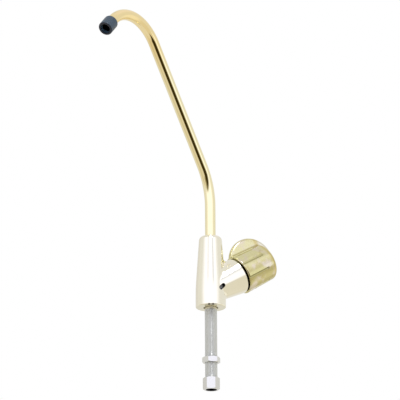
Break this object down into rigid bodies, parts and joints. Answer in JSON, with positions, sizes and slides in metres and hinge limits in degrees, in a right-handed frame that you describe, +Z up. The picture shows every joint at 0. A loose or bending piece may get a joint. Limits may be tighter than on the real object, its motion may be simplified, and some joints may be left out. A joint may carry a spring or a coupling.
{
  "type": "drinking water tap",
  "caption": "Drinking water tap: tapered Y body on a hollow threaded stud, hooked swivel spout, and a ceramic cartridge in the branch turned by a fluted knob with a round fin.",
  "frame": {"origin": "centre of the flat underside of the body, on the axis of the stud", "axes": "+Z up along the stud and the lower spout, branch and knob rise towards +Y, spout reaches away from them, swung 29 degrees towards +X at rest"},
  "size_m": [0.0985, 0.2029, 0.3204],
  "materials": {
    "plated_body": "pale champagne plating, polished",
    "gold_tube": "polished gold plating",
    "knob_brass": "polished greenish yellow brass",
    "zinc_steel": "zinc plated",
    "spring_steel": "plain",
    "black_plastic": "satin black",
    "white_plastic": "smooth",
    "rubber": "smooth black",
    "ceramic": "lapped",
    "raw_brass": "machined"
  },
  "bodies": {
    "tap_body": {"body": "plated_body", "stud": "zinc_steel", "foot_seal": "rubber", "cartridge_barrel": "raw_brass", "barrel_seal": "rubber", "seat_seal": "rubber", "stator_disc": "ceramic", "thrust_washer": "white_plastic", "gap_ring": "black_plastic"},
    "spout": {"spout_tube": "gold_tube", "spout_tip": "black_plastic", "spout_seal_lower": "rubber", "spout_seal_upper": "rubber", "spout_clip": "raw_brass"},
    "knob": {"knob": "knob_brass", "spindle": "raw_brass", "spindle_seal_inner": "rubber", "spindle_seal_outer": "rubber", "spindle_clip": "spring_steel", "rotor_disc": "ceramic", "grub_screw": "spring_steel"},
    "mounting_nut": {"mounting_nut": "zinc_steel"},
    "compression_nut": {"compression_nut": "zinc_steel", "ferrule": "raw_brass"}
  },
  "joints": [
    {"name": "spout_swivel", "type": "hinge", "parent": "tap_body", "child": "spout", "pos_m": [0, 0, 0.05], "axis": [0, 0, 1], "continuous": true},
    {"name": "knob_turn", "type": "hinge", "parent": "tap_body", "child": "knob", "pos_m": [0, 0, 0.017], "axis": [0, 0.8616, 0.5075], "range_deg": [0, 90]},
    {"name": "mounting_nut_travel", "type": "slide", "parent": "tap_body", "child": "mounting_nut", "axis": [0, 0, 1], "range_m": [-0.013, 0.0449]},
    {"name": "compression_nut_travel", "type": "slide", "parent": "tap_body", "child": "compression_nut", "axis": [0, 0, -1], "range_m": [0, 0.012]}
  ]
}
